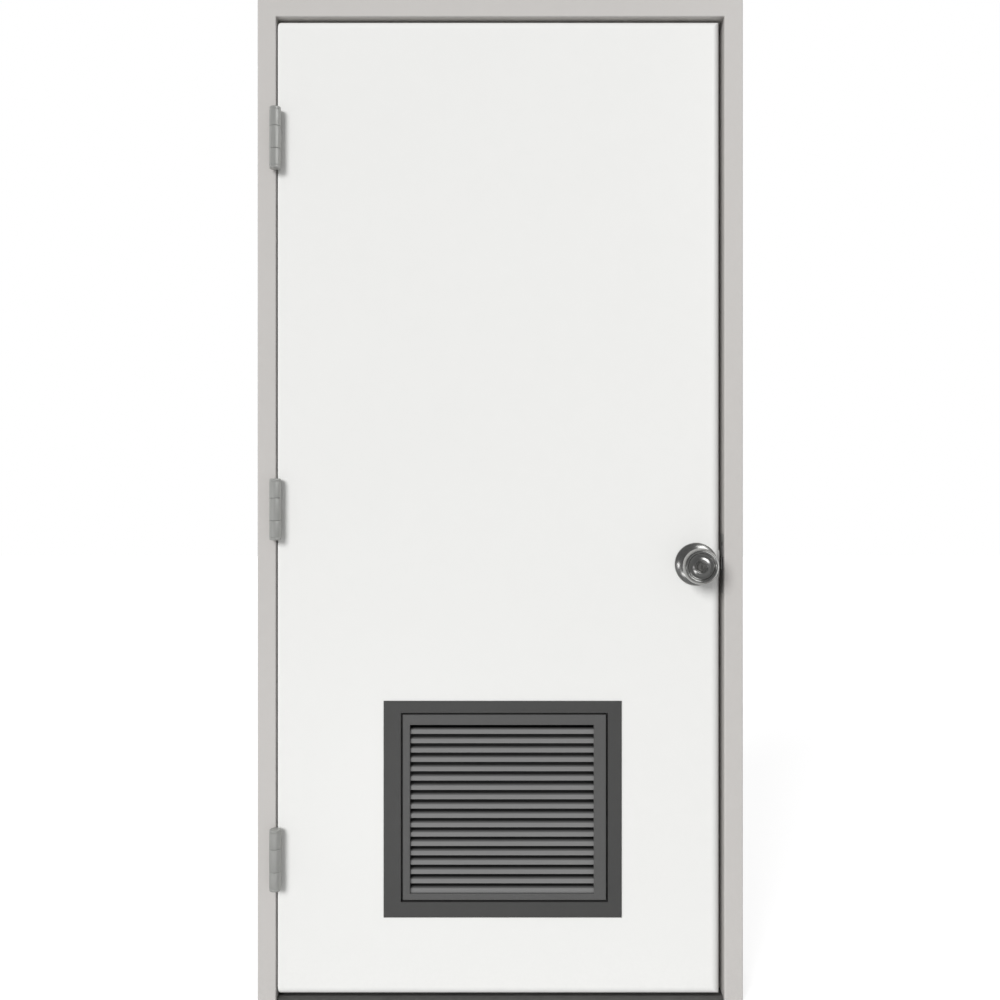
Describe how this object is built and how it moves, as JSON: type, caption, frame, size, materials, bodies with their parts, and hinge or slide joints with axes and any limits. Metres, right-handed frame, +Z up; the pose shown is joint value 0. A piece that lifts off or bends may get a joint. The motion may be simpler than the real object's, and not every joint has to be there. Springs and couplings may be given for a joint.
{
  "type": "prehung steel front door with louver",
  "caption": "Flush white steel door leaf on side hinges in a grey pressed-steel frame, with a keyed knob, a low louver vent and a dark threshold; swings outward.",
  "frame": {"origin": "centre of the threshold's underside, on the floor", "axes": "+X to the lock side, +Y into the house, +Z up; the outside of the door faces -Y"},
  "size_m": [1.0002, 0.2095, 2.0715],
  "materials": {
    "frame_paint": "satin",
    "leaf_paint": "satin",
    "honeycomb": "matte",
    "louver_flange_paint": "satin",
    "louver_insert_paint": "satin",
    "louver_blade_paint": "satin",
    "hinge_steel": "satin",
    "galvanised_steel": "matte",
    "lock_steel": "satin",
    "lock_chrome": "polished",
    "key_cylinder_nickel": "satin",
    "threshold_bronze": "satin",
    "seal_rubber": "matte"
  },
  "bodies": {
    "frame": {"hinge_jamb": "frame_paint", "strike_jamb": "frame_paint", "head": "frame_paint", "hinge_reinforcements": "galvanised_steel", "top_hinge_frame_leaf": "hinge_steel", "middle_hinge_frame_leaf": "hinge_steel", "bottom_hinge_frame_leaf": "hinge_steel", "top_hinge_pin": "hinge_steel", "middle_hinge_pin": "hinge_steel", "bottom_hinge_pin": "hinge_steel", "strike_plate": "lock_steel", "strike_box": "galvanised_steel", "threshold": "threshold_bronze", "hinge_seal": "seal_rubber", "strike_seal": "seal_rubber", "head_seal": "seal_rubber", "hinge_floor_clip": "galvanised_steel", "strike_floor_clip": "galvanised_steel"},
    "leaf": {"leaf_core": "honeycomb", "leaf_front_skin": "leaf_paint", "leaf_back_skin": "leaf_paint", "top_hinge_door_leaf": "hinge_steel", "middle_hinge_door_leaf": "hinge_steel", "bottom_hinge_door_leaf": "hinge_steel", "louver_outside_flange": "louver_flange_paint", "louver_inside_flange": "louver_flange_paint", "louver_insert": "louver_insert_paint", "louver_blades": "louver_blade_paint", "lock_case": "lock_steel", "latch_face_plate": "lock_steel", "latch_bolt": "lock_steel", "outside_rose": "lock_chrome", "inside_rose": "lock_chrome"},
    "knob": {"outside_knob": "lock_chrome", "inside_knob": "lock_chrome", "knob_spindle": "lock_steel", "key_cylinder": "key_cylinder_nickel", "turn_button": "lock_chrome"}
  },
  "joints": [
    {"name": "leaf_swing", "type": "hinge", "parent": "frame", "child": "leaf", "pos_m": [-0.461, -0.0856, 0], "axis": [0, 0, -1], "range_deg": [0, 170]},
    {"name": "knob_turn", "type": "hinge", "parent": "leaf", "child": "knob", "pos_m": [0.404, -0.0705, 0.905], "axis": [0, 1, 0], "range_deg": [-60, 60], "stiffness_Nm_per_rad": 0.5}
  ]
}
